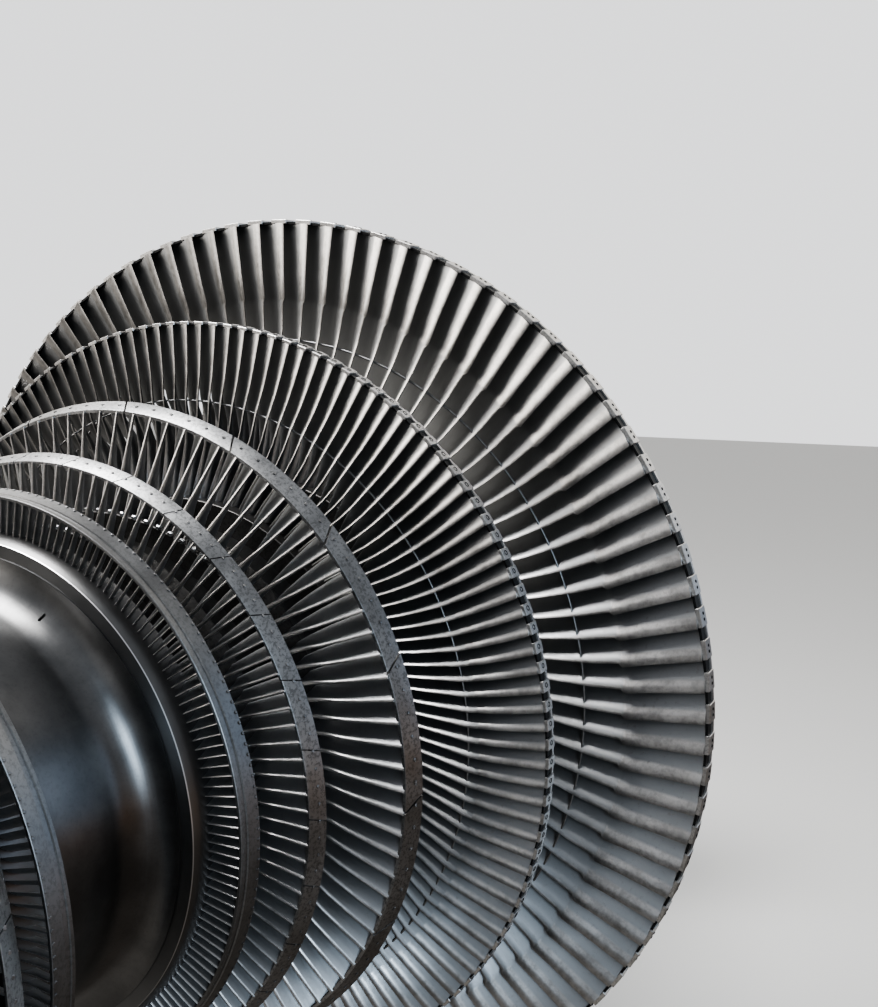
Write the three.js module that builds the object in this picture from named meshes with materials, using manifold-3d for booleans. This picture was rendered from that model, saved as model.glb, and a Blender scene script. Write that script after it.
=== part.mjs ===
// Rotor of a double-flow low-pressure steam turbine. Millimetres, +X along the shaft, +Z up.
import * as THREE from 'three';
import { mergeVertices } from 'three/addons/utils/BufferGeometryUtils.js';
import Module from 'manifold-3d';

const wasm = await Module();
wasm.setup();

// The origin lies on the mating face of the drive end coupling, so the mid-plane is half a length away.
const halfLength = 3600;
const facets = 28;
const gap = 0.3;
const mergeTolerance = 0.5;

// The drum between the two inlet rows, with a concave fillet up to each first disc.
const drum = { radius: 560, halfWidth: 120, fillet: 115, filletSteps: 3 };

// One flow, from the steam inlet outwards. x is measured from the mid-plane. The first row's fine blades
// stand so close that they are one solid ring here. A blade is three-sided and twists from section to
// section: the radius, the place of its nose along and round the shaft, its chord, its thickness and its
// angle to the shaft. The phase is the angle of one nose line at the tip, from the -Y side upwards.
const stages = [
  {
    name: 'stage_1', blades: 0, rim: 660, root: 711, front: 238, back: 350, lip: 684, groove: 600,
    bladeFront: 280, bladeBack: 342, tipFront: 282, tipBack: 338, tip: 812, tipRise: 6,
    shroud: { front: 274, back: 344, thick: 7 },
  },
  {
    name: 'stage_2', blades: 120, phase: 1.2, rim: 650, root: 705, front: 455, back: 560, groove: 590,
    tip: 868, tipRise: 18, shroud: { front: 476, back: 528, thick: 9 },
    sections: [[705, 468, 9, 74, 12, 20], [868, 478, 0, 58, 8, 40]],
  },
  {
    name: 'stage_3', blades: 98, phase: -0.45, rim: 640, root: 705, front: 715, back: 865, groove: 570,
    tip: 993, tipRise: 22, shroud: { front: 758, back: 816, thick: 11 },
    sections: [[705, 739, 40, 106, 16, 12], [993, 762, 0, 80, 10, 50]],
  },
  {
    name: 'stage_4', blades: 138, phase: 1.3, rim: 620, root: 700, front: 1085, back: 1320, groove: 540,
    tip: 1264, tipRise: 0, shroud: null,
    sections: [[700, 1115, 48, 180, 18, 8], [960, 1138, 6, 156, 13, 40], [1264, 1150, 0, 124, 8, 71]],
  },
  {
    name: 'stage_5', blades: 100, phase: 0.95, rim: 600, root: 716, front: 1515, back: 1885, groove: 0,
    tip: 1624, tipRise: 0, shroud: null,
    sections: [[716, 1560, 70, 296, 26, 6], [1100, 1598, 16, 255, 18, 40], [1624, 1598, 0, 198, 10, 73]],
  },
];

// The shaft end outside the last disc, the same on both sides.
const shaft = {
  shoulder: { x: 1990, radius: 440 },
  gland: { front: 2060, back: 2440, radius: 350 },
  thrower: { front: 2500, back: 2560, radius: 262 },
  journal: { front: 2600, back: 3110, radius: 240 },
  seat: { radius: 215, inset: 40 },
};
const glandSleeve = { front: 2080, back: 2420, radius: 372 };
const throwerRing = { front: 2505, back: 2555, radius: 335, lip: 300 };
const coupling = { hubFront: 3310, hubRadius: 345, flangeFront: 3450, flangeRadius: 520 };

const steel = { forged: 0x8d9095, blade: 0xb9b6ae, shroud: 0xa7aab0, machined: 0xa0a3a8 };

function toManifold(geometry) {
  const bare = geometry.index ? geometry.toNonIndexed() : geometry.clone();
  bare.deleteAttribute('normal');
  bare.deleteAttribute('uv');
  const merged = mergeVertices(bare, 1e-4);
  const index = merged.index.array;
  const position = merged.attributes.position;
  const corner = [new THREE.Vector3(), new THREE.Vector3(), new THREE.Vector3()];
  const triangles = [];
  let volume = 0;
  for (let i = 0; i < index.length; i += 3) {
    const [a, b, c] = [index[i], index[i + 1], index[i + 2]];
    if (a === b || b === c || c === a) continue;
    triangles.push(a, b, c);
    [a, b, c].forEach((v, k) => corner[k].fromBufferAttribute(position, v));
    volume += corner[0].dot(corner[1].clone().cross(corner[2]));
  }
  if (volume < 0) {
    for (let i = 0; i < triangles.length; i += 3) {
      [triangles[i + 1], triangles[i + 2]] = [triangles[i + 2], triangles[i + 1]];
    }
  }
  return new wasm.Manifold(new wasm.Mesh({
    numProp: 3,
    vertProperties: new Float32Array(position.array),
    triVerts: new Uint32Array(triangles),
  }));
}

function toGeometry(manifold) {
  const mesh = manifold.getMesh();
  const geometry = new THREE.BufferGeometry();
  geometry.setAttribute('position', new THREE.BufferAttribute(new Float32Array(mesh.vertProperties), 3));
  geometry.setIndex(new THREE.BufferAttribute(new Uint32Array(mesh.triVerts), 1));
  return geometry;
}

// A profile is a list of [x, radius] pairs. A ring closes on itself, a bar starts and ends on the axis.
function turned(profile, closed) {
  const points = profile.map(([x, radius]) => new THREE.Vector2(radius, x));
  if (closed) points.push(points[0].clone());
  const geometry = new THREE.LatheGeometry(points, facets);
  geometry.rotateZ(-Math.PI / 2);
  return geometry;
}

const ring = (profile) => toManifold(turned(profile, true));
const bar = (profile) => toManifold(turned(profile, false));

// The ratio of a faceted circle's flats to its corners, which seats flat blade ends on the rings.
const flatRatio = Math.cos(Math.PI / facets);
const footDepth = 2;

// The radius of the surface that the blade tips end at, which rises with the flow under a shroud.
function tipRadius(stage, x) {
  if (!stage.shroud) return stage.tip;
  const { front, back } = stage.shroud;
  return stage.tip + (stage.tipRise * (x - front)) / (back - front);
}

// How far along the chord a corner lies, and how far it stands out to the back of the blade.
const corners = [[0, 0], [1, 0], [0.42, 1]];

// The three corners of one section, with the blade at the top of its row.
function sectionCorners(stage, index) {
  const [radius, noseX, noseY, chord, thick, angle] = stage.sections[index];
  const along = [Math.cos(THREE.MathUtils.degToRad(angle)), Math.sin(THREE.MathUtils.degToRad(angle))];
  return corners.map(([share, out]) => {
    const x = noseX + share * chord * along[0] + out * thick * along[1];
    const y = noseY + share * chord * along[1] - out * thick * along[0];
    let reach = radius;
    if (index === 0) reach = radius * flatRatio - footDepth;
    if (index === stage.sections.length - 1 && stage.shroud) reach = tipRadius(stage, x) * flatRatio - gap;
    return new THREE.Vector3(x, y, Math.sqrt(reach * reach - y * y));
  });
}

// The sections are joined by two triangles a side, split so that a twisting side swells to the back.
function bladeGeometry(stage) {
  const points = stage.sections.flatMap((section, index) => sectionCorners(stage, index));
  const index = [0, 2, 1, points.length - 3, points.length - 2, points.length - 1];
  for (let low = 0; low < points.length - 3; low += 3) {
    for (let j = 0; j < 3; j += 1) {
      const k = (j + 1) % 3;
      const [a, b, c, d] = [low + j, low + k, low + 3 + k, low + 3 + j];
      if (corners[k][0] > corners[j][0]) index.push(a, b, d, b, c, d);
      else index.push(a, b, c, a, c, d);
    }
  }
  return new THREE.BufferGeometry().setFromPoints(points).setIndex(index);
}

function rootProfile(stage) {
  const inner = stage.rim + gap;
  if (!stage.lip) {
    return [[stage.front, inner], [stage.front, stage.root], [stage.back, stage.root], [stage.back, inner]];
  }
  return [
    [stage.front, inner], [stage.front, stage.lip], [stage.bladeFront, stage.root],
    [stage.tipFront, tipRadius(stage, stage.tipFront) - gap],
    [stage.tipBack, tipRadius(stage, stage.tipBack) - gap],
    [stage.bladeBack, stage.root], [stage.back, stage.root], [stage.back, inner],
  ];
}

function bladeRow(stage) {
  const rootRing = ring(rootProfile(stage));
  if (stage.blades === 0) return rootRing;
  const blade = toManifold(bladeGeometry(stage));
  const blades = [];
  for (let k = 0; k < stage.blades; k += 1) {
    blades.push(blade.rotate([90 - stage.phase - (360 * k) / stage.blades, 0, 0]));
  }
  return rootRing.add(wasm.Manifold.union(blades)).asOriginal().simplify(mergeTolerance);
}

function shroudRing(stage) {
  const { front, back, thick } = stage.shroud;
  return ring([
    [front, stage.tip],
    [front, stage.tip + thick],
    [back, stage.tip + stage.tipRise + thick],
    [back, stage.tip + stage.tipRise],
  ]);
}

function halfProfile() {
  const profile = [];
  for (let k = 0; k <= drum.filletSteps; k += 1) {
    const turn = (Math.PI / 2) * (k / drum.filletSteps);
    profile.push([
      drum.halfWidth + drum.fillet * Math.sin(turn),
      drum.radius + drum.fillet * (1 - Math.cos(turn)),
    ]);
  }
  profile.pop();
  stages.forEach((stage, i) => {
    profile.push([stage.front, stage.rim], [stage.back, stage.rim]);
    const next = stages[i + 1];
    if (next) profile.push([stage.back + 14, stage.groove], [next.front - 14, stage.groove]);
  });
  const { shoulder, gland, thrower, journal, seat } = shaft;
  profile.push(
    [shoulder.x, shoulder.radius], [gland.front, gland.radius], [gland.back, gland.radius],
    [thrower.front - 10, thrower.radius], [thrower.back, thrower.radius],
    [journal.front, journal.radius], [journal.back, journal.radius],
    [journal.back + 20, seat.radius], [halfLength - seat.inset, seat.radius], [halfLength - seat.inset, 0],
  );
  return profile;
}

function forging() {
  const half = halfProfile();
  const mirrored = half.map(([x, radius]) => [-x, radius]).reverse();
  return bar([...mirrored, ...half]);
}

function glandRing() {
  const { front, back, radius } = glandSleeve;
  const inner = shaft.gland.radius + gap;
  return ring([[front, inner], [front, radius], [back, radius], [back, inner]]);
}

function oilThrower() {
  const { front, back, radius, lip } = throwerRing;
  const inner = shaft.thrower.radius + gap;
  return ring([
    [front, inner], [front, lip], [(front + back) / 2, radius], [back, lip], [back, inner],
  ]);
}

function couplingHalf() {
  const { hubFront, hubRadius, flangeFront, flangeRadius } = coupling;
  const inner = shaft.seat.radius + gap;
  const boreEnd = halfLength - shaft.seat.inset + gap;
  return bar([
    [hubFront, 0], [hubFront, hubRadius], [flangeFront - 30, hubRadius + 12], [flangeFront, flangeRadius],
    [halfLength, flangeRadius], [halfLength, 0],
  ]).subtract(bar([[hubFront - 10, 0], [hubFront - 10, inner], [boreEnd, inner], [boreEnd, 0]]));
}

const group = new THREE.Group();
group.name = 'steam_turbine_rotor';

function place(name, manifold, colour, roughness) {
  const material = new THREE.MeshStandardMaterial({ color: colour, roughness, metalness: 1 });
  material.name = name;
  const mesh = new THREE.Mesh(toGeometry(manifold.translate([halfLength, 0, 0])), material);
  mesh.name = name;
  group.add(mesh);
}

function placeBoth(name, manifold, colour, roughness) {
  place(`${name}_a`, manifold, colour, roughness);
  place(`${name}_b`, manifold.mirror([1, 0, 0]), colour, roughness);
}

place('rotor_forging', forging(), steel.forged, 0.3);
for (const stage of stages) {
  placeBoth(`${stage.name}_blades`, bladeRow(stage), steel.blade, 0.35);
  if (stage.shroud) placeBoth(`${stage.name}_shroud`, shroudRing(stage), steel.shroud, 0.32);
}
placeBoth('gland_sleeve', glandRing(), steel.machined, 0.3);
placeBoth('oil_thrower', oilThrower(), steel.machined, 0.3);
placeBoth('coupling_half', couplingHalf(), steel.machined, 0.28);

export default group;
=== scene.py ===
import math
import bpy
import bmesh
from mathutils import Matrix, Vector


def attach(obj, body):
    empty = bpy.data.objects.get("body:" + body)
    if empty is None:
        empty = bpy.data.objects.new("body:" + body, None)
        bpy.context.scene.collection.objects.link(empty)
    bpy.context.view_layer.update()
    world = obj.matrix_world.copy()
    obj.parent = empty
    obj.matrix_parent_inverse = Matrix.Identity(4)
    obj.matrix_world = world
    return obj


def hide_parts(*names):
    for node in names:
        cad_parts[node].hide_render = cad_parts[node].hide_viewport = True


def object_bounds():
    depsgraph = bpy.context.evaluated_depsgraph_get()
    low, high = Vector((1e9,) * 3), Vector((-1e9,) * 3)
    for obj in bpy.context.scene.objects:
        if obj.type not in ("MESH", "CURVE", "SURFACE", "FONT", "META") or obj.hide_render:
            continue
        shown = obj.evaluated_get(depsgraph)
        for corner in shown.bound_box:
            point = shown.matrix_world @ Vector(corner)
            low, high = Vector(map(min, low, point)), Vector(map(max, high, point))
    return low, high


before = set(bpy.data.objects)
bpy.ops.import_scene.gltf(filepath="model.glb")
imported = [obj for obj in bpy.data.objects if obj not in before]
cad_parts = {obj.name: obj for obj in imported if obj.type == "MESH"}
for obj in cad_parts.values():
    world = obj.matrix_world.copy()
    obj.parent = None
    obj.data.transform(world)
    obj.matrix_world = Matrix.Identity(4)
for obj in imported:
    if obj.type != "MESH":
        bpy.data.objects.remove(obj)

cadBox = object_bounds()
midX = (cadBox[0].x + cadBox[1].x) / 2   # the rotor's mid-plane, both flows mirror about it
halfLength = (cadBox[1].x - cadBox[0].x) / 2


# Shader maths as plain expressions.
class Sock:
    def __init__(self, tree, socket):
        self.tree = tree
        self.socket = socket

    def make(self, operation, other=None):
        values = [self] if other is None else [self, other]
        return self.tree.node("ShaderNodeMath", {"operation": operation}, values)

    def __add__(self, other):
        return self.make("ADD", other)

    __radd__ = __add__

    def __sub__(self, other):
        return self.make("SUBTRACT", other)

    def __rsub__(self, other):
        return (self * -1.0) + other

    def __mul__(self, other):
        return self.make("MULTIPLY", other)

    __rmul__ = __mul__

    def __truediv__(self, other):
        return self.make("DIVIDE", other)

    def power(self, other):
        return self.make("POWER", other)


class Shader:
    def __init__(self, name, world=None):
        self.material = world or bpy.data.materials.new(name)
        self.material.use_nodes = True
        self.nodes = self.material.node_tree.nodes
        self.links = self.material.node_tree.links
        self.base = self.nodes["Background" if world else "Principled BSDF"]

    def node(self, kind, settings=None, values=(), output=0):
        made = self.nodes.new(kind)
        for key, value in (settings or {}).items():
            setattr(made, key, value)
        items = values.items() if isinstance(values, dict) else enumerate(values)
        for key, value in items:
            target = made.inputs[key]
            if isinstance(value, Sock):
                value = value.socket
            if isinstance(value, bpy.types.NodeSocket):
                self.links.new(value, target)
            else:
                target.default_value = value
        return Sock(self, made.outputs[output])

    def place(self):
        return self.node("ShaderNodeTexCoord", output=3)

    def split(self, vector):
        parts = self.node("ShaderNodeSeparateXYZ", {}, [vector])
        return [Sock(self, out) for out in parts.socket.node.outputs]

    def attribute(self, name):
        return self.node("ShaderNodeAttribute", {"attribute_name": name}, output=2)

    def noise(self, vector, scale, detail=3.0, rough=0.55):
        values = {"Vector": vector, "Scale": scale, "Detail": detail, "Roughness": rough}
        return self.node("ShaderNodeTexNoise", {}, values)

    def stretched(self, vector, scale):
        return self.node("ShaderNodeMapping", {}, {"Vector": vector, "Scale": scale})

    def step(self, value, low, high):
        return self.node("ShaderNodeMapRange", {"interpolation_type": "SMOOTHSTEP"},
                         {"Value": value, "From Min": low, "From Max": high})

    def mix(self, factor, first, second):
        values = {0: factor, 6: first, 7: second}
        return self.node("ShaderNodeMix", {"data_type": "RGBA"}, values, output=2)

    def into(self, key, value):
        target = self.base.inputs[key]
        if isinstance(value, Sock):
            self.links.new(value.socket, target)
        else:
            target.default_value = value

    def bump(self, height, strength, distance):
        values = {"Height": height, "Strength": strength, "Distance": distance}
        self.into("Normal", self.node("ShaderNodeBump", {}, values))


def grey(value, warmth=0.0):
    return (value * (1 + warmth), value, value * (1 - warmth), 1.0)


# Radius from the shaft axis and the turn round it, from Object coordinates.
def cylindrical(shader):
    point = shader.place()
    x, y, z = shader.split(point)
    radius = (y * y + z * z).power(0.5)
    turn = z.make("ARCTAN2", y)
    return point, x - midX, radius, turn


# Fine rings as a lathe leaves them, in lines to the metre.
def latheMarks(shader, x, radius, turn, lines):
    place = shader.node("ShaderNodeCombineXYZ", {}, [x * lines, radius * lines, turn * 0.6])
    return shader.noise(place, 1.0, 3.0)


def deselectAll():
    if bpy.context.object and bpy.context.object.mode != "OBJECT":
        bpy.ops.object.mode_set(mode="OBJECT")
    bpy.ops.object.select_all(action="DESELECT")


def only(piece):
    deselectAll()
    piece.select_set(True)
    bpy.context.view_layer.objects.active = piece


def applyPlace(piece):
    only(piece)
    bpy.ops.object.transform_apply(location=True, rotation=True, scale=True)


# The piece gets its name, no doubled points, normals that face out, and sharp edges above an angle in
# degrees.
def settle(piece, name, smoothAngle):
    applyPlace(piece)
    piece.name = name
    piece.data.name = name
    bpy.ops.object.mode_set(mode="EDIT")
    bpy.ops.mesh.select_all(action="SELECT")
    bpy.ops.mesh.remove_doubles(threshold=0.00002)
    bpy.ops.mesh.normals_make_consistent(inside=False)
    bpy.ops.object.mode_set(mode="OBJECT")
    bpy.ops.object.shade_smooth_by_angle(angle=math.radians(smoothAngle))
    return piece


# A circle is drawn at the first point of the profile, then pulled along the shaft and scaled from point
# to point. A closed profile comes back to its start, and an open one has a flat disc at each end.
def turnedPiece(name, profile, closed, segments=192, smoothAngle=35):
    deselectAll()
    x, radius = profile[0]
    fill = "NOTHING" if closed else "NGON"
    bpy.ops.mesh.primitive_circle_add(vertices=segments, radius=radius, location=(midX + x, 0, 0),
                                      rotation=(0, math.pi / 2, 0), fill_type=fill)
    piece = bpy.context.object
    bpy.ops.object.mode_set(mode="EDIT")
    bpy.ops.mesh.select_all(action="SELECT")
    points = profile[1:] + ([profile[0]] if closed else [])
    for nextX, nextRadius in points:
        bpy.ops.mesh.extrude_region_move(TRANSFORM_OT_translate={"value": (nextX - x, 0, 0)})
        scale = nextRadius / radius
        bpy.ops.transform.resize(value=(1, scale, scale), orient_type="GLOBAL",
                                 center_override=(midX + nextX, 0, 0))
        x, radius = nextX, nextRadius
    return settle(piece, name, smoothAngle)


# A block with its lengths along the shaft, round the shaft and outwards, laid at the top of its circle.
def laidBlock(name, x, radius, size, bevel):
    deselectAll()
    length, width, height = size
    bpy.ops.mesh.primitive_cube_add(size=1, location=(midX + x, 0, radius + height / 2))
    block = bpy.context.object
    bpy.ops.object.mode_set(mode="EDIT")
    bpy.ops.mesh.select_all(action="SELECT")
    bpy.ops.transform.resize(value=(length, width, height), orient_type="GLOBAL",
                             center_override=(midX + x, 0, radius + height / 2))
    bpy.ops.mesh.bevel(offset=bevel, segments=1, affect="EDGES")
    return settle(block, name, smoothAngle=30)


def finishPiece(piece, material, node):
    piece.data.materials.clear()
    piece.data.materials.append(material)
    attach(piece, "root")
    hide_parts(node)


# The other flow is the same piece mirrored about the mid-plane.
def mirrored(piece, name):
    twin = piece.copy()
    twin.data = piece.data.copy()
    bpy.context.scene.collection.objects.link(twin)
    twin.parent = None
    twin.matrix_world = Matrix.Translation((2 * midX, 0, 0)) @ Matrix.Diagonal((-1, 1, 1, 1))
    applyPlace(twin)
    bpy.ops.object.mode_set(mode="EDIT")
    bpy.ops.mesh.select_all(action="SELECT")
    bpy.ops.mesh.normals_make_consistent(inside=False)
    bpy.ops.object.mode_set(mode="OBJECT")
    twin.name = name
    twin.data.name = name
    return twin


# Both flows' pieces get their steel and stand for their nodes.
def bothFlows(piece, material, node):
    twin = mirrored(piece, piece.name[:-1] + "b")
    finishPiece(piece, material, node + "_a")
    finishPiece(twin, material, node + "_b")


# Copies of a piece turned evenly round the shaft, made one mesh. The phase is in degrees, from the near
# side up.
def roundTheShaft(piece, count, phase):
    pivot = bpy.data.objects.new("pivot", None)
    bpy.context.scene.collection.objects.link(pivot)
    pivot.rotation_euler = (2 * math.pi / count, 0, 0)
    applyPlace(piece)
    row = piece.modifiers.new("row", "ARRAY")
    row.use_relative_offset = False
    row.use_object_offset = True
    row.offset_object = pivot
    row.count = count
    bpy.context.view_layer.update()
    bpy.ops.object.modifier_apply(modifier=row.name)
    bpy.data.objects.remove(pivot)
    piece.rotation_euler = (math.radians(90 - phase), 0, 0)
    applyPlace(piece)
    return piece


# The blade rows, in metres from the mid-plane. A station is one section up the blade: radius, place of the
# nose along the shaft and round it, chord, thickness, stagger and camber in degrees. Bright says how far
# from the nose the bright band reaches, inside and outside the notch, and how light the steel is. The band
# is painted highlight along the nose, outside the notch partly the polished erosion shield. Flank, deep and
# inner set the painted shade on the flank.
stages = {
    "stage_5": {
        "blades": 100, "phase": 0.9, "rim": 0.6003, "root": 0.716, "front": 1.515, "back": 1.885,
        "stations": [
            (0.700, 1.556, 0.076, 0.300, 0.026, 2, 40), (0.780, 1.563, 0.062, 0.295, 0.025, 10, 38),
            (0.880, 1.575, 0.046, 0.284, 0.022, 20, 34), (1.000, 1.592, 0.028, 0.268, 0.018, 32, 30),
            (1.120, 1.606, 0.010, 0.248, 0.014, 43, 26), (1.240, 1.602, -0.001, 0.226, 0.012, 54, 22),
            (1.337, 1.600, -0.004, 0.206, 0.011, 61, 20), (1.352, 1.593, -0.0145, 0.222, 0.013, 62, 20),
            (1.440, 1.594, -0.0075, 0.214, 0.011, 66, 19), (1.530, 1.596, -0.0035, 0.206, 0.0095, 70, 18),
            (1.609, 1.598, 0.000, 0.198, 0.0085, 73, 17),
        ],
        "bright": {"outside": (0.036, 0.047), "inside": (0.003, 0.014), "notch": 1.345,
                   "shine": 0.66, "flank": 0.42, "deep": 0.60, "inner": 0.80},
        "lacing": {"x": 1.615, "radius": 1.207, "wire": 0.0040},
        "cover": {"x": 1.643, "radius": 1.607, "size": (0.062, 0.062, 0.0150), "bevel": 0.0018,
                  "rivets": (-0.0095, 0.0095), "rivetX": 1.646, "rivet": 0.0052, "hole": 0.0},
        "band": {"front": 1.618, "back": 1.668, "inner": 1.606, "outer": 1.6145},
        "strap": {"front": 1.657, "back": 1.671, "inner": 1.614, "outer": 1.6195},
    },
    "stage_4": {
        "blades": 138, "phase": 1.3, "rim": 0.6203, "root": 0.700, "front": 1.085, "back": 1.320,
        "stations": [
            (0.685, 1.125, 0.050, 0.178, 0.019, 4, 42), (0.750, 1.131, 0.040, 0.172, 0.016, 12, 40),
            (0.8145, 1.139, 0.028, 0.164, 0.014, 22, 37), (0.880, 1.143, 0.0153, 0.157, 0.012, 31, 33),
            (0.940, 1.141, 0.007, 0.151, 0.0105, 39, 29), (1.018, 1.131, -0.001, 0.146, 0.009, 49, 25),
            (1.100, 1.137, -0.004, 0.137, 0.008, 57, 24), (1.180, 1.142, -0.003, 0.130, 0.007, 65, 22),
            (1.257, 1.147, 0.000, 0.124, 0.006, 70, 20),
        ],
        "bright": {"outside": (0.015, 0.027), "inside": (0.003, 0.011), "notch": 1.05,
                   "shine": 0.60, "flank": 0.33, "deep": 0.75, "inner": 1.20},
        "lacing": {"x": 1.144, "radius": 1.013, "wire": 0.0032},
        "cover": {"x": 1.178, "radius": 1.2555, "size": (0.048, 0.034, 0.0110), "bevel": 0.0014,
                  "rivets": (0.002,), "rivetX": 1.176, "rivet": 0.0080, "hole": 0.0042},
        "band": {"front": 1.160, "back": 1.196, "inner": 1.2545, "outer": 1.2605},
        "strap": {"front": 1.188, "back": 1.199, "inner": 1.260, "outer": 1.2645},
    },
    "stage_3": {
        "blades": 98, "phase": -0.45, "rim": 0.6403, "root": 0.705, "front": 0.715, "back": 0.865,
        "stations": [
            (0.690, 0.737, 0.044, 0.108, 0.016, 6, 42), (0.760, 0.741, 0.036, 0.102, 0.014, 15, 40),
            (0.840, 0.747, 0.0216, 0.094, 0.012, 28, 36), (0.920, 0.754, 0.010, 0.086, 0.010, 40, 30),
            (1.001, 0.762, 0.000, 0.080, 0.008, 52, 26),
        ],
        "bright": {"outside": (0.003, 0.010), "inside": (0.003, 0.010), "notch": 0.90,
                   "shine": 0.68, "flank": 0.44, "deep": 0.80, "inner": 0.95},
        "bead": {"x": 0.717, "radius": 0.709, "size": (0.012, 0.016, 0.014), "bevel": 0.003,
                 "turn": 2.6},
        "shroud": {"front": 0.766, "back": 0.824, "inner": 0.996, "rise": 0.021, "thick": 0.010,
                   "parts": 16, "phase": 19.0, "gap": 0.007, "slant": 2.3, "rivet": 0.0060,
                   "colour": 0.43, "blotch": 0.80},
    },
    "stage_2": {
        "blades": 120, "phase": 1.2, "rim": 0.6503, "root": 0.705, "front": 0.455, "back": 0.560,
        "stations": [
            (0.690, 0.468, 0.009, 0.074, 0.011, 18, 42), (0.750, 0.470, 0.006, 0.070, 0.009, 24, 38),
            (0.810, 0.473, 0.003, 0.064, 0.008, 32, 34), (0.876, 0.478, 0.000, 0.058, 0.007, 40, 30),
        ],
        "bright": {"outside": (0.003, 0.009), "inside": (0.003, 0.009), "notch": 0.80,
                   "shine": 0.68, "flank": 0.44, "deep": 0.80, "inner": 0.95},
        "bead": {"x": 0.458, "radius": 0.708, "size": (0.011, 0.013, 0.013), "bevel": 0.003,
                 "turn": 0.9},
        "shroud": {"front": 0.481, "back": 0.534, "inner": 0.872, "rise": 0.018, "thick": 0.008,
                   "parts": 30, "phase": 0.2, "gap": 0.0035, "slant": -1.2, "rivet": 0.0050,
                   "colour": 0.43, "blotch": 0.80},
    },
    "stage_1": {
        "blades": 190, "phase": 0.7, "rim": 0.6603, "root": 0.711, "front": 0.238, "back": 0.350,
        "lip": 0.698,
        "stations": [
            (0.700, 0.284, 0.0, 0.060, 0.0050, 24, 40), (0.755, 0.286, 0.0, 0.058, 0.0045, 27, 38),
            (0.808, 0.288, 0.0, 0.056, 0.0040, 30, 36),
        ],
        "bright": {"outside": (0.003, 0.008), "inside": (0.003, 0.008), "notch": 0.80,
                   "shine": 0.60, "flank": 0.40, "deep": 0.80, "inner": 0.95},
        "shroud": {"front": 0.281, "back": 0.350, "inner": 0.8055, "rise": 0.006, "thick": 0.008,
                   "parts": 1, "rivet": 0.0045, "colour": 0.30, "blotch": 0.40},
    },
}

# How far along the chord each of the section's columns lies, and its share of the thickness.
sectionColumns = [(0.0, 0.0), (0.030, 0.34), (0.12, 0.50), (0.34, 0.50), (0.62, 0.38), (0.86, 0.20),
                  (1.0, 0.0)]


# The belly faces the inlet and the next blade, the back faces the other way. Side is 1 on the back and -1
# on the belly.
def sectionPoint(station, column, side):
    radius, noseX, noseY, chord, thick, stagger, camber = station
    share, half = sectionColumns[column]
    turn = math.radians(stagger)
    bow = 4 * share * (1 - share) * chord / 2 * math.tan(math.radians(camber) / 4)
    across = bow + side * half * thick
    y = noseY + share * chord * math.sin(turn) - across * math.cos(turn)
    x = noseX + share * chord * math.cos(turn) + across * math.sin(turn)
    return Vector((midX + x, y, math.sqrt(radius * radius - y * y)))


# A round outline is pulled point by point into the root section, then extruded and reshaped at each
# station.
def bladeLoft(name, stage):
    deselectAll()
    points = 2 * (len(sectionColumns) - 1)
    bpy.ops.mesh.primitive_circle_add(vertices=points, radius=0.5, location=(midX, 0, 0), fill_type="NGON")
    blade = bpy.context.object
    applyPlace(blade)
    bpy.ops.object.mode_set(mode="EDIT")
    form = bmesh.from_edit_mesh(blade.data)
    for word in ("column", "side", "station"):
        form.verts.layers.int.new(word)
    form.verts.layers.float.new("fromNose")
    form.verts.layers.float.new("fromTail")
    words = form.verts.layers.int
    columnLayer, sideLayer, stationLayer = words["column"], words["side"], words["station"]
    places = sorted({round(vertex.co.x, 4) for vertex in form.verts})
    for vertex in form.verts:
        vertex[columnLayer] = places.index(round(vertex.co.x, 4))
        vertex[sideLayer] = -1 if vertex.co.y > 1e-4 else 1
        vertex[stationLayer] = 0
    bmesh.update_edit_mesh(blade.data)
    for index, station in enumerate(stage["stations"]):
        if index:
            bpy.ops.mesh.select_all(action="DESELECT")
            form = bmesh.from_edit_mesh(blade.data)
            stationLayer = form.verts.layers.int["station"]
            for face in form.faces:
                isEnd = len(face.verts) > 4
                if isEnd and all(vertex[stationLayer] == index - 1 for vertex in face.verts):
                    face.select_set(True)
            bmesh.update_edit_mesh(blade.data)
            rise = station[0] - stage["stations"][index - 1][0]
            bpy.ops.mesh.extrude_region_move(TRANSFORM_OT_translate={"value": (0, 0, rise)})
            form = bmesh.from_edit_mesh(blade.data)
            stationLayer = form.verts.layers.int["station"]
            for vertex in form.verts:
                if vertex.select:
                    vertex[stationLayer] = index
        movePoints(blade, index, station)
    bpy.ops.object.mode_set(mode="OBJECT")
    for word in ("column", "side", "station"):
        blade.data.attributes.remove(blade.data.attributes[word])
    return settle(blade, name, smoothAngle=50)


# The outline's points at one station go to their places on the section, and note their place on the chord.
def movePoints(blade, index, station):
    form = bmesh.from_edit_mesh(blade.data)
    words = form.verts.layers.int
    columnLayer, sideLayer, stationLayer = words["column"], words["side"], words["station"]
    noseLayer, tailLayer = form.verts.layers.float["fromNose"], form.verts.layers.float["fromTail"]
    chord = station[3]
    moves = []
    for vertex in form.verts:
        if vertex[stationLayer] == index:
            column = vertex[columnLayer]
            vertex[noseLayer] = sectionColumns[column][0] * chord
            vertex[tailLayer] = chord - vertex[noseLayer]
            moves.append((vertex.index, sectionPoint(station, column, vertex[sideLayer]) - vertex.co))
    for number, move in moves:
        bpy.ops.mesh.select_all(action="DESELECT")
        form = bmesh.from_edit_mesh(blade.data)
        form.verts.ensure_lookup_table()
        form.verts[number].select_set(True)
        bmesh.update_edit_mesh(blade.data)
        bpy.ops.transform.translate(value=move, orient_type="GLOBAL")


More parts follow.
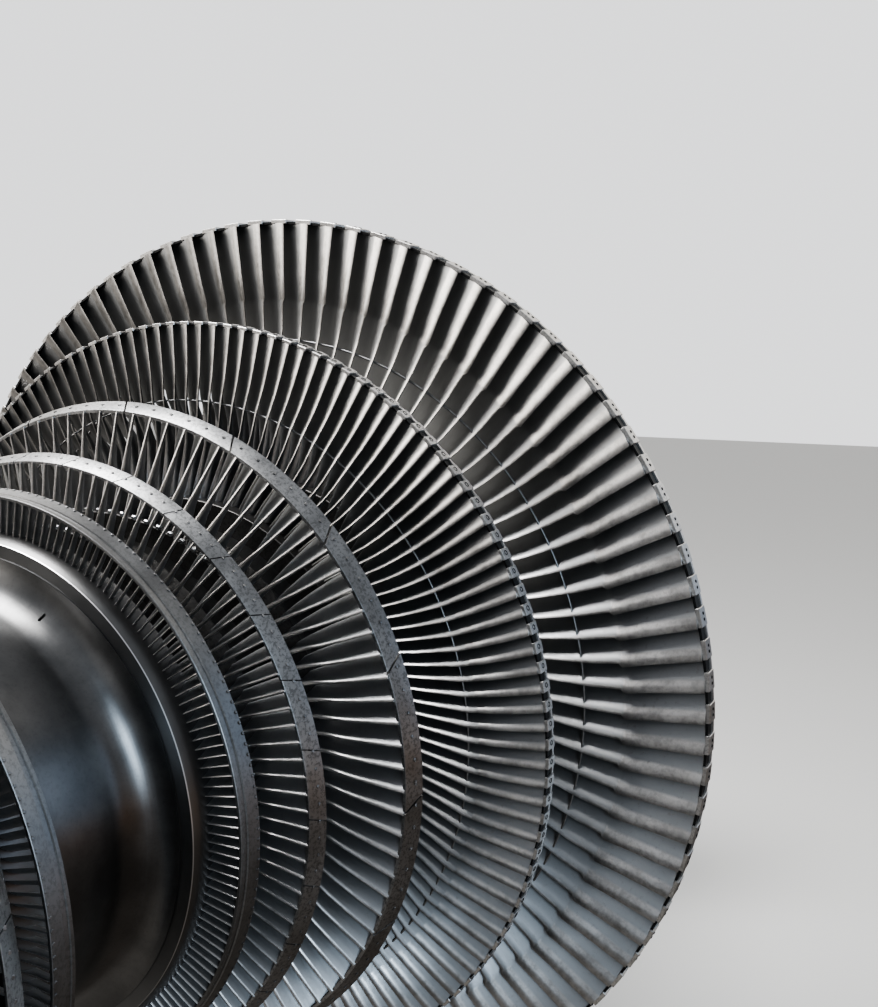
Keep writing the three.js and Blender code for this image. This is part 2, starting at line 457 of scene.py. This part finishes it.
# Noises are scale, detail and roughness. Steps are where a change begins and ends, in metres on the steel.
bladeFinish = {
    "warmth": 0.035, "rough": 0.33, "stain": 0.62, "outer": 0.64, "ragged": 0.010,
    "smudge": (8.0, 6.0, 0.62), "specks": (60.0, 5.0, 0.65), "grain": (90.0, 14.0, 14.0),
    "tailEdge": 0.008, "tailReach": 0.012, "noseEdge": 0.004, "fade": 0.06, "notchEdge": 0.004,
    "foot": (0.25, 0.05), "stains": (0.36, 0.62), "dust": (0.55, 0.72), "dustShare": 0.35, "dustShade": 0.4,
}


# A bright band behind the nose, painted highlight and outside the notch partly the polished shield, duller
# at the nose itself outside the notch. Darker down the flank and lighter again at the trailing edge:
# painted shade from the neighbouring blade, with its own painted shade level toward the foot. With stains,
# dust and fine lengthwise grain.
def bladeSteel(name, stage):
    shader = Shader(name)
    point, _, radius, _ = cylindrical(shader)
    band, finish = stage["bright"], bladeFinish
    warmth, stain, notch = finish["warmth"], finish["stain"], band["notch"]
    reach, bandEnd = band["outside"]
    fromNose = shader.attribute("fromNose")
    fromTail = shader.attribute("fromTail")
    smudge = shader.noise(point, *finish["smudge"])
    specks = shader.noise(point, *finish["specks"])
    fine = shader.noise(shader.stretched(point, finish["grain"]), 3.0, 4.0)
    stains = shader.step(smudge * 0.6 + specks * 0.4, *finish["stains"])

    ragged = fromNose + (specks - 0.5) * finish["ragged"]
    wide = shader.step(ragged, reach, bandEnd)
    narrow = shader.step(fromNose, *band["inside"])
    outside = shader.step(radius, notch - finish["notchEdge"], notch + finish["notchEdge"])
    back = narrow + (wide - narrow) * outside

    def stained(shade):
        return shader.mix(stains, grey(shade * stain, warmth), grey(shade, warmth))

    # Painted highlight: the band's bright steel, partly the polished shield outside the notch.
    offNose = shader.step(fromNose, finish["noseEdge"], reach)
    light = shader.mix(outside - outside * offNose, stained(band["shine"]),
                       stained(band["shine"] * finish["outer"]))
    # Painted shade down the flank from the neighbouring blade, lifted again near the trailing edge.
    edge = 1 - shader.step(fromTail, finish["tailEdge"], bandEnd + finish["tailReach"])
    paintedFlankShade = shader.step(fromNose, bandEnd, bandEnd + finish["fade"])
    outer = shader.mix(paintedFlankShade - paintedFlankShade * edge, grey(band["flank"]), grey(band["flank"] * band["deep"]))
    # Painted shade toward the foot, at its own level.
    inner = grey(band["flank"] * band["inner"])
    upper = shader.step(radius, notch - finish["foot"][0], notch + finish["foot"][1])
    steel = shader.mix(back, light, shader.mix(upper, inner, outer))
    dust = shader.step(specks, *finish["dust"]) * finish["dustShare"]
    shader.into("Base Color", shader.mix(dust, steel, grey(band["shine"] * finish["dustShade"], 0.10)))
    shader.into("Metallic", 1.0)
    shader.into("Roughness", fine * 0.16 + stains * 0.05 + (finish["rough"] - 0.08) + back * 0.10)
    shader.bump(fine + specks * 0.4, 0.18, 0.0006)
    return shader.material


# Turned steel. Clean is the share of its lightness that smudges leave, blotch how far spots darken it.
turnedFinish = {"smudge": (5.0, 6.0), "spots": (110.0, 5.0, 0.68), "smudges": (0.30, 0.72),
                "blotches": (0.45, 0.62), "blotchShade": 0.40, "bump": (0.12, 0.0008)}


def turnedSteel(name, colour, warmth, rough, lines, clean=0.8, blotch=0.5):
    shader = Shader(name)
    point, x, radius, turn = cylindrical(shader)
    rings = latheMarks(shader, x, radius, turn, lines)
    smudge = shader.noise(point, *turnedFinish["smudge"])
    spots = shader.noise(point, *turnedFinish["spots"])
    level = shader.step(smudge, *turnedFinish["smudges"])
    blotches = shader.step(spots, *turnedFinish["blotches"]) * blotch
    shade = shader.mix(level, grey(colour * clean, warmth), grey(colour, warmth))
    dark = grey(colour * turnedFinish["blotchShade"], warmth)
    shader.into("Base Color", shader.mix(blotches, shade, dark))
    shader.into("Metallic", 1.0)
    shader.into("Roughness", rings * 0.12 + level * 0.10 + spots * 0.08 + (rough - 0.12))
    shader.bump(rings, *turnedFinish["bump"])
    return shader.material


# The first disc is dark like the drum on its face, its cone darker still as painted shade, with a thin
# painted highlight line along the lip.
lipFinish = {"face": (0.16, 0.26), "cone": (0.12, 0.22), "paintedHighlight": 0.72, "lines": 260.0,
             "coneStart": (-0.002, 0.001), "highlightStart": (-0.0005, 0.0), "highlightEnd": (0.0012, 0.0020)}


def lipSteel(name, lip):
    shader = Shader(name)
    point, x, radius, turn = cylindrical(shader)
    smudge = shader.noise(point, 9.0, 6.0)
    rings = latheMarks(shader, x, radius, turn, lipFinish["lines"])

    def atLip(key):
        start, end = lipFinish[key]
        return shader.step(radius, lip + start, lip + end)

    # Painted highlight: a thin bright line at the lip. Painted shade: the cone's dark steel.
    cone = atLip("coneStart")
    paintedHighlight = atLip("highlightStart") - atLip("highlightEnd")
    face = shader.mix(smudge, *(grey(shade) for shade in lipFinish["face"]))
    outside = shader.mix(smudge, *(grey(shade, 0.02) for shade in lipFinish["cone"]))
    outside = shader.mix(paintedHighlight, outside, grey(lipFinish["paintedHighlight"], 0.01))
    shader.into("Base Color", shader.mix(cone, face, outside))
    shader.into("Metallic", 1.0)
    shader.into("Roughness", rings * 0.12 + smudge * 0.10 + 0.24)
    shader.bump(rings, *turnedFinish["bump"])
    return shader.material


def plainSteel(name, colour, rough):
    shader = Shader(name)
    smudge = shader.noise(shader.place(), 60.0, 4.0)
    shader.into("Base Color", shader.mix(shader.step(smudge, 0.3, 0.7), grey(colour * 0.7), grey(colour)))
    shader.into("Metallic", 1.0)
    shader.into("Roughness", smudge * 0.2 + (rough - 0.1))
    return shader.material


rootForm = {"bevel": 0.002, "cone": 0.020, "rearBevel": 0.006}
ringFaces = 240


# The ring that a row's blades stand on. The first has a cone outside its lip, the others a small bevel.
def rootRing(name, stage):
    front, back, rim, root = stage["front"], stage["back"], stage["rim"], stage["root"]
    lip = stage.get("lip", root - rootForm["bevel"])
    edge = rootForm["cone" if "lip" in stage else "bevel"]
    rear = rootForm["rearBevel"]
    profile = [(front, rim), (front, lip), (front + edge, root), (back - rear, root), (back, root - rear),
               (back, rim)]
    return turnedPiece(name, profile, closed=True)


# The groove is that of the one-piece shroud, as steps along the shaft and outwards from its front corner.
# Its heads stand near the rear edge, the others' a little behind the middle and part of the rise up.
shroudForm = {"soft": 0.0015, "grooveFront": 0.010,
              "groove": [(0.0, 0.0), (0.002, -0.003), (0.016, -0.003), (0.018, 0.001)],
              "headInset": 0.006, "headShift": 0.004, "headRise": 0.57}


# One shroud segment is its end face spun round the shaft, with the rear edge turned on so that the joint
# slants. The shroud of one part is turned whole.
def shroudSegments(name, stage):
    size = stage["shroud"]
    front, back, inner, rise = size["front"], size["back"], size["inner"], size["rise"]
    low, high, soft = inner + size["thick"], inner + rise + size["thick"], shroudForm["soft"]
    profile = [(front, inner), (front, low - soft), (front + soft, low),
               (back - soft, high), (back, high - soft), (back, inner + rise)]
    if size["parts"] > 1:
        return ringSegments(name, profile, size)
    groove = front + shroudForm["grooveFront"]
    profile[3:3] = [(groove + step, low + depth) for step, depth in shroudForm["groove"]]
    return turnedPiece(name, profile, closed=True, segments=ringFaces)


def ringSegments(name, profile, size):
    span = 2 * math.pi / size["parts"] - size["gap"] / size["inner"]
    steps = max(6, round(ringFaces / size["parts"]))
    deselectAll()
    x, radius = profile[0]
    bpy.ops.mesh.primitive_circle_add(vertices=len(profile), radius=0.01, location=(midX + x, 0, radius),
                                      rotation=(math.pi / 2, 0, 0), fill_type="NGON")
    piece = bpy.context.object
    applyPlace(piece)
    bpy.ops.object.mode_set(mode="EDIT")
    for number, (pointX, pointRadius) in enumerate(profile):
        bpy.ops.mesh.select_all(action="DESELECT")
        form = bmesh.from_edit_mesh(piece.data)
        form.verts.ensure_lookup_table()
        vertex = form.verts[number]
        vertex.select_set(True)
        bmesh.update_edit_mesh(piece.data)
        move = Vector((midX + pointX, 0, pointRadius)) - vertex.co
        bpy.ops.transform.translate(value=move, orient_type="GLOBAL")
    bpy.ops.mesh.select_all(action="SELECT")
    bpy.ops.mesh.spin(steps=steps, angle=span, center=(midX, 0, 0), axis=(1, 0, 0))
    form = bmesh.from_edit_mesh(piece.data)
    rear = (size["front"] + size["back"]) / 2 + midX
    bpy.ops.mesh.select_all(action="DESELECT")
    for vertex in form.verts:
        vertex.select_set(vertex.co.x > rear)
    bmesh.update_edit_mesh(piece.data)
    bpy.ops.transform.rotate(value=math.radians(size["slant"]), orient_axis="X", orient_type="GLOBAL",
                             center_override=(midX, 0, 0))
    settle(piece, name, smoothAngle=35)
    return roundTheShaft(piece, size["parts"], size["phase"])


# Shares of the head's radius or of its lift, and how deep it sits in the face below it.
tenonForm = {"faces": 8, "dome": 0.7, "inset": 0.9, "sink": -0.9, "rise": 0.5, "seat": 0.0005,
             "shroudLift": 0.0016, "coverLift": 0.0018}


# Tenon heads: a low disc, or a ring round a hole, on the outer face at every blade.
def tenons(name, count, phase, x, radius, size, hole, offsets, lift):
    deselectAll()
    made = []
    inner = hole / size if hole else tenonForm["dome"]
    rise = lift * tenonForm["sink" if hole else "rise"]
    for offset in offsets:
        place = (midX + x, offset, radius - tenonForm["seat"])
        bpy.ops.mesh.primitive_circle_add(vertices=tenonForm["faces"], radius=size, location=place,
                                          fill_type="NGON")
        made.append(bpy.context.object)
        bpy.ops.object.mode_set(mode="EDIT")
        bpy.ops.mesh.select_all(action="SELECT")
        bpy.ops.mesh.extrude_region_move(TRANSFORM_OT_translate={"value": (0, 0, lift)})
        bpy.ops.mesh.inset(thickness=size * (1 - inner) * tenonForm["inset"])
        bpy.ops.transform.translate(value=(0, 0, rise), orient_type="GLOBAL")
        bpy.ops.object.mode_set(mode="OBJECT")
    deselectAll()
    for disc in made:
        disc.select_set(True)
    bpy.context.view_layer.objects.active = made[0]
    if len(made) > 1:
        bpy.ops.object.join()
    settle(bpy.context.object, name, smoothAngle=30)
    return roundTheShaft(bpy.context.object, count, phase)


# A wire that runs through a whole row, with six sides.
def ringWire(name, lacing):
    x, radius, wire = lacing["x"], lacing["radius"], lacing["wire"]
    profile = []
    for k in range(6):
        turn = 2 * math.pi * k / 6
        profile.append((x + wire * math.cos(turn), radius + wire * math.sin(turn)))
    return turnedPiece(name, profile, closed=True, segments=ringFaces, smoothAngle=80)


# A ring with a square section from the numbers of one stage.
def plainRing(name, size):
    front, back, inner, outer = size["front"], size["back"], size["inner"], size["outer"]
    profile = [(front, inner), (front, outer), (back, outer), (back, inner)]
    return turnedPiece(name, profile, closed=True, segments=ringFaces)


shadowSteel = plainSteel("shadowSteel", colour=0.045, rough=0.55)
# Painted shade: dark steel for the root rings, standing for the deep shade between the discs.
platformSteel = turnedSteel("platformSteel", colour=0.09, warmth=0.04, rough=0.42, lines=260.0)
coverSteel = turnedSteel("coverSteel", colour=0.66, warmth=0.03, rough=0.38, lines=260.0)
wireSteel = plainSteel("wireSteel", colour=0.36, rough=0.38)
footSteel = plainSteel("footSteel", colour=0.75, rough=0.30)


# A row's shroud and its rivet heads, which sit a third of the pitch on from the noses.
def stageShroud(key, stage):
    size = stage["shroud"]
    front, back, rise = size["front"], size["back"], size["rise"]
    steel = turnedSteel(key + "ShroudSteel", size["colour"], warmth=0.01, rough=0.38, lines=300.0,
                        clean=0.66, blotch=size["blotch"])
    bothFlows(shroudSegments(key + "Shroud_a", stage), steel, key + "_shroud")
    if size["parts"] == 1:
        x, radius = back - shroudForm["headInset"], size["inner"] + rise + size["thick"]
    else:
        x = (front + back) / 2 + shroudForm["headShift"]
        radius = size["inner"] + rise * shroudForm["headRise"] + size["thick"]
    thirdOfPitch = 120 / stage["blades"]
    heads = tenons(key + "Tenons_a", stage["blades"], stage["phase"] + thirdOfPitch, x, radius,
                   size["rivet"], 0.0, (0.0,), tenonForm["shroudLift"])
    bothFlows(heads, steel, key + "_shroud")


def tipCovers(key, stage):
    cover, count = stage["cover"], stage["blades"]
    phase = stage["phase"] + math.degrees(cover["size"][1] / cover["radius"]) / 2
    block = laidBlock(key + "Covers_a", cover["x"], cover["radius"], cover["size"], cover["bevel"])
    bothFlows(roundTheShaft(block, count, phase), coverSteel, key + "_blades")
    heads = tenons(key + "Tenons_a", count, phase, cover["rivetX"], cover["radius"] + cover["size"][2],
                   cover["rivet"], cover["hole"], cover["rivets"], tenonForm["coverLift"])
    bothFlows(heads, shadowSteel, key + "_blades")
    bothFlows(plainRing(key + "Band_a", stage["band"]), shadowSteel, key + "_blades")
    bothFlows(plainRing(key + "Strap_a", stage["strap"]), coverSteel, key + "_blades")


# Beads at the blade feet. Their bright steel is painted highlight, standing for the glints at the feet.
def footBeads(key, stage):
    bead = stage["bead"]
    foot = bead["radius"] - bead["size"][2] / 2
    block = laidBlock(key + "Feet_a", bead["x"], foot, bead["size"], bead["bevel"])
    roundTheShaft(block, stage["blades"], stage["phase"] + bead["turn"])
    bothFlows(block, footSteel, key + "_blades")


for key, stage in stages.items():
    blade = bladeLoft(key + "Blades_a", stage)
    roundTheShaft(blade, stage["blades"], stage["phase"])
    bothFlows(blade, bladeSteel(key + "Steel", stage), key + "_blades")
    rootSteel = lipSteel("lipSteel", stage["lip"]) if "lip" in stage else platformSteel
    bothFlows(rootRing(key + "Root_a", stage), rootSteel, key + "_blades")
    if "shroud" in stage:
        stageShroud(key, stage)
    if "cover" in stage:
        tipCovers(key, stage)
    if "lacing" in stage:
        wire = ringWire(key + "Lacing_a", stage["lacing"])
        bothFlows(wire, wireSteel, key + "_blades")
    if "bead" in stage:
        footBeads(key, stage)
    print(key, "done", len(blade.data.polygons))


# The forging from coupling seat to coupling seat, in metres from the mid-plane. Grooves are the radii
# between the discs.
drum = {"radius": 0.560, "halfWidth": 0.120, "fillet": 0.115, "filletSteps": 14}
shaft = {
    "shoulderX": 1.990, "shoulderRadius": 0.440,
    "glandFront": 2.060, "glandBack": 2.440, "glandRadius": 0.350,
    "throwerFront": 2.500, "throwerBack": 2.560, "throwerRadius": 0.262, "throwerRise": 0.010,
    "journalFront": 2.600, "journalBack": 3.110, "journalRadius": 0.240, "journalEnd": 0.020,
    "seatRadius": 0.215, "seatInset": 0.040,
    "grooves": [0.600, 0.590, 0.570, 0.540], "discFlare": 0.014,
}
boreGap = 0.0003


def forgingProfile():
    half = []
    for k in range(drum["filletSteps"]):
        turn = math.pi / 2 * k / drum["filletSteps"]
        half.append((drum["halfWidth"] + drum["fillet"] * math.sin(turn),
                     drum["radius"] + drum["fillet"] * (1 - math.cos(turn))))
    rows = sorted(stages.values(), key=lambda stage: stage["front"])
    for index, stage in enumerate(rows):
        rim = stage["rim"] - boreGap
        half += [(stage["front"], rim), (stage["back"], rim)]
        if index < len(rows) - 1:
            groove, flare = shaft["grooves"][index], shaft["discFlare"]
            half += [(stage["back"] + flare, groove), (rows[index + 1]["front"] - flare, groove)]
    half += [
        (shaft["shoulderX"], shaft["shoulderRadius"]),
        (shaft["glandFront"], shaft["glandRadius"]), (shaft["glandBack"], shaft["glandRadius"]),
        (shaft["throwerFront"] - shaft["throwerRise"], shaft["throwerRadius"]),
        (shaft["throwerBack"], shaft["throwerRadius"]),
        (shaft["journalFront"], shaft["journalRadius"]), (shaft["journalBack"], shaft["journalRadius"]),
        (shaft["journalBack"] + shaft["journalEnd"], shaft["seatRadius"]),
        (halfLength - shaft["seatInset"], shaft["seatRadius"]),
    ]
    return [(-x, radius) for x, radius in reversed(half)] + half


shaftFinish = {"darkAndShaded": (0.12, 0.21), "journal": (0.55, 0.66), "spotShade": 0.07, "spotShare": 0.16,
               "blotches": (0.50, 0.66), "lines": 260.0, "rough": 0.185, "ground": 0.09, "edge": 0.004}


# Dark forging, its dark steel partly its own tone and partly painted shade for the shaded drum and
# grooves, with its journals ground bright.
def shaftSteel(name):
    shader = Shader(name)
    point, x, radius, turn = cylindrical(shader)
    along = x.make("ABSOLUTE")
    rings = latheMarks(shader, x, radius, turn, shaftFinish["lines"])
    smudge = shader.noise(point, *turnedFinish["smudge"])
    spots = shader.noise(point, *turnedFinish["spots"])
    front, back, edge = shaft["journalFront"], shaft["journalBack"], shaftFinish["edge"]
    journal = shader.step(along, front - edge, front) * (1 - shader.step(along, back, back + edge))
    # The dark steel is partly the forging's own tone and partly painted shade.
    dark, light = shaftFinish["darkAndShaded"]
    darkAndShaded = shader.mix(shader.step(smudge, *turnedFinish["smudges"]), grey(dark), grey(light, 0.02))
    blotches = shader.step(spots, *shaftFinish["blotches"]) * shaftFinish["spotShare"]
    darkAndShaded = shader.mix(blotches, darkAndShaded, grey(shaftFinish["spotShade"], 0.04))
    bright = shader.mix(smudge, *(grey(shade) for shade in shaftFinish["journal"]))
    shader.into("Base Color", shader.mix(journal, darkAndShaded, bright))
    shader.into("Metallic", 1.0)
    uneven = rings * 0.10 + smudge * 0.12 + spots * 0.06
    shader.into("Roughness", uneven + shaftFinish["rough"] - journal * shaftFinish["ground"])
    shader.bump(rings, *turnedFinish["bump"])
    return shader.material


# The cutter is taken out of the piece and then removed. Edges flatter than the angle, in degrees, stay
# smooth.
def cutAway(piece, cutter, smoothAngle):
    only(piece)
    cut = piece.modifiers.new("cut", "BOOLEAN")
    cut.operation = "DIFFERENCE"
    cut.object = cutter
    bpy.ops.object.modifier_apply(modifier=cut.name)
    bpy.data.objects.remove(cutter)
    bpy.ops.object.shade_smooth_by_angle(angle=math.radians(smoothAngle))


# A small slot cut in each fillet of the drum.
slot = {"x": 0.200, "radius": 0.570, "size": (0.018, 0.008, 0.060), "bevel": 0.002, "place": 62.5}


def cutSlots(piece):
    for side in (-1, 1):
        cutter = laidBlock("cutter", side * slot["x"], slot["radius"], slot["size"], slot["bevel"])
        cutAway(piece, roundTheShaft(cutter, 1, slot["place"]), smoothAngle=35)


forgedSteel = shaftSteel("forgedSteel")
machinedSteel = turnedSteel("machinedSteel", colour=0.48, warmth=0.0, rough=0.30, lines=300.0)
forging = turnedPiece("rotorForging", forgingProfile(), closed=False)
cutSlots(forging)
finishPiece(forging, forgedSteel, "rotor_forging")
print("forging done")

# The shaft end pieces: a sleeve with sealing fins, a ring that throws off oil, and the coupling with its
# bolt holes. The coupling's fillet is given as distances before the flange and above the hub.
sleeve = {"front": 2.080, "back": 2.420, "radius": 0.372, "body": 0.358, "collar": 0.012,
          "fins": 14, "fin": 0.003}
thrower = {"front": 2.505, "back": 2.555, "radius": 0.335, "lip": 0.300, "edge": 0.004}
coupling = {"hubFront": 3.310, "hubRadius": 0.345, "flangeFront": 3.450, "flangeRadius": 0.520,
            "edge": 0.005, "fillet": [(0.030, 0.004), (0.012, 0.016), (0.0, 0.045)],
            "recess": 0.350, "recessDepth": 0.006, "recessSlope": 0.004, "recessWidth": 0.060,
            "holes": 16, "holeCircle": 0.435, "holeRadius": 0.036, "holeFaces": 24,
            "drillInset": 0.08, "drillLength": 0.30}
endFaces = 128


def glandSleeve():
    inner = shaft["glandRadius"] + boreGap
    front, back, collar = sleeve["front"], sleeve["back"], sleeve["collar"]
    top, body, fin = sleeve["radius"], sleeve["body"], sleeve["fin"]
    profile = [(front, inner), (front, top), (front + collar, top), (front + collar, body)]
    pitch = (back - front - 2 * collar) / (sleeve["fins"] + 1)
    for k in range(sleeve["fins"]):
        x = front + collar + pitch * (k + 1)
        profile += [(x - fin / 2, body), (x - fin / 4, top), (x + fin / 4, top), (x + fin / 2, body)]
    profile += [(back - collar, body), (back - collar, top), (back, top), (back, inner)]
    return turnedPiece("glandSleeve_a", profile, closed=True, segments=endFaces)


def oilThrower():
    inner = shaft["throwerRadius"] + boreGap
    front, back, top = thrower["front"], thrower["back"], thrower["radius"]
    lip, edge = thrower["lip"], thrower["edge"]
    middle = (front + back) / 2
    profile = [(front, inner), (front, lip - edge), (front + edge, lip), (middle - edge, top),
               (middle + edge, top), (back - edge, lip), (back, lip - edge), (back, inner)]
    return turnedPiece("oilThrower_a", profile, closed=True, segments=endFaces)


def couplingHalf():
    inner = shaft["seatRadius"] + boreGap
    hub, flange, edge = coupling["hubRadius"], coupling["flangeRadius"], coupling["edge"]
    front, hubFront = coupling["flangeFront"], coupling["hubFront"]
    recess, depth = coupling["recess"], coupling["recessDepth"]
    slope, width = coupling["recessSlope"], coupling["recessWidth"]
    profile = [(halfLength - shaft["seatInset"] + boreGap, inner), (hubFront, inner),
               (hubFront, hub - edge), (hubFront + edge, hub)]
    profile += [(front - before, hub + rise) for before, rise in coupling["fillet"]]
    profile += [(front, flange - edge), (front + edge, flange), (halfLength - edge, flange),
                (halfLength, flange - edge), (halfLength, recess), (halfLength - depth, recess - slope),
                (halfLength - depth, recess - width), (halfLength, recess - width - slope)]
    piece = turnedPiece("couplingHalf_a", profile, closed=False, segments=endFaces)
    deselectAll()
    place = (midX + halfLength - coupling["drillInset"], 0, coupling["holeCircle"])
    bpy.ops.mesh.primitive_cylinder_add(vertices=coupling["holeFaces"], radius=coupling["holeRadius"],
                                        depth=coupling["drillLength"], location=place,
                                        rotation=(0, math.pi / 2, 0))
    halfPitch = 180 / coupling["holes"]
    drill = roundTheShaft(bpy.context.object, coupling["holes"], halfPitch)
    cutAway(piece, drill, smoothAngle=30)
    return piece


bothFlows(glandSleeve(), machinedSteel, "gland_sleeve")
bothFlows(oilThrower(), machinedSteel, "oil_thrower")
bothFlows(couplingHalf(), machinedSteel, "coupling_half")
print("shaft ends done")

# Camera solved from the photo: place and direction in metres from the mid-plane.
cameraView = {"place": (-1.971, -2.496, 1.249), "forward": (0.8821, 0.4480, -0.1457), "lens": 42.90,
              "sensor": 36, "clip": (0.05, 200)}


# A camera or lamp stands at a place from the mid-plane and looks along a direction.
def stand(name, data, place, direction):
    stood = bpy.data.objects.new(name, data)
    bpy.context.scene.collection.objects.link(stood)
    stood.location = Vector(place) + Vector((midX, 0, 0))
    stood.rotation_mode = "QUATERNION"
    stood.rotation_quaternion = direction.to_track_quat("-Z", "Y")
    return stood


def setCamera():
    data = bpy.data.cameras.new("camera")
    data.lens = cameraView["lens"]
    data.sensor_width = cameraView["sensor"]
    data.clip_start, data.clip_end = cameraView["clip"]
    camera = stand("camera", data, cameraView["place"], Vector(cameraView["forward"]))
    bpy.context.scene.camera = camera


# One panel behind the rotor, one above it, and a cool one on the camera's side.
panels = {
    "farPanel": {"place": (-2.2, 7.5, 3.4), "target": (0.6, 0, 0.6), "size": (5, 2.6),
                 "energy": 300, "colour": (1.0, 0.97, 0.92)},
    "skyPanel": {"place": (0.3, 2.2, 6.3), "target": (1.2, -0.6, 0), "size": (3.2, 3.0),
                 "energy": 760, "colour": (0.98, 0.99, 1.0)},
    "nearPanel": {"place": (-5.5, -6.5, 2.2), "target": (0.8, 0, 0), "size": (1.2, 3.2),
                  "energy": 300, "colour": (0.66, 0.83, 1.0)},
}


def areaLight(name, panel):
    data = bpy.data.lights.new(name, "AREA")
    data.shape = "RECTANGLE"
    data.size, data.size_y = panel["size"]
    data.energy = panel["energy"]
    data.color = panel["colour"]
    lamp = stand(name, data, panel["place"], Vector(panel["target"]) - Vector(panel["place"]))
    lamp.visible_camera = False


floorLook = {"level": -1.75, "size": 60, "colour": (0.80, 0.784, 0.76, 1), "rough": 0.8}

# Turn is the compass direction in degrees, spread how squarely a ray points there, rise and top heights.
studio = {
    "backdrop": (1.25, 1.26, 1.28, 1), "dim": (0.22, 0.22, 0.23, 1), "sky": (0.32, 0.34, 0.37, 1),
    "skyRise": (0.25, 0.75), "ground": (0.105, 0.093, 0.083, 1), "horizon": (-0.10, 0.02),
    "window": {"turn": 50, "spread": (0.02, 0.32), "rise": (0.00, 0.15), "top": (0.50, 0.80),
               "colour": (1.65, 1.60, 1.50, 1)},
    "cool": {"turn": -45, "spread": (0.80, 0.97), "rise": (-0.13, -0.04), "top": (0.32, 0.50),
             "colour": (0.66, 0.84, 1.08, 1)},
    "glow": {"turn": -90, "spread": (0.40, 0.70), "rise": (-0.26, -0.16), "top": (-0.13, -0.04),
             "colour": (0.50, 0.29, 0.15, 1)},
    "bounce": {"turn": 130, "spread": (0.10, 0.60), "top": (-0.12, 0.0),
               "colour": (0.30, 0.285, 0.265, 1)},
}


# What the steel mirrors: a dim room with a wide bright window on the far side, a cool light and a low warm
# glow on the near side, and a pale bounce off the ground. The camera sees a plain backdrop.
def setWorld():
    world = bpy.context.scene.world or bpy.data.worlds.new("studio")
    bpy.context.scene.world = world
    shader = Shader("studio", world)
    x, y, z = shader.split(shader.node("ShaderNodeTexCoord"))
    level = (x * x + y * y + 0.0001).power(0.5)
    room = shader.mix(shader.step(z, *studio["skyRise"]), studio["dim"], studio["sky"])
    room = shader.mix(shader.step(z, *studio["horizon"]), studio["ground"], room)
    for key in ("bounce", "glow", "cool", "window"):
        light = studio[key]
        turn = math.radians(light["turn"])
        facing = (x * math.cos(turn) + y * math.sin(turn)) / level
        share = shader.step(facing, *light["spread"]) * (1 - shader.step(z, *light["top"]))
        if "rise" in light:
            share = share * shader.step(z, *light["rise"])
        room = shader.mix(share, room, light["colour"])
    cameraRay = shader.node("ShaderNodeLightPath")
    shader.into("Color", shader.mix(cameraRay, room, studio["backdrop"]))


def setStudio():
    deselectAll()
    bpy.ops.mesh.primitive_plane_add(size=floorLook["size"], location=(midX, 0, floorLook["level"]))
    floor = bpy.context.object
    floor.name = "floor"
    shader = Shader("paleFloor")
    shader.into("Base Color", floorLook["colour"])
    shader.into("Roughness", floorLook["rough"])
    floor.data.materials.append(shader.material)
    floor.visible_glossy = False
    setWorld()
    for name, panel in panels.items():
        areaLight(name, panel)


setCamera()
setStudio()
bpy.context.scene.view_settings.look = "AgX - Medium High Contrast"
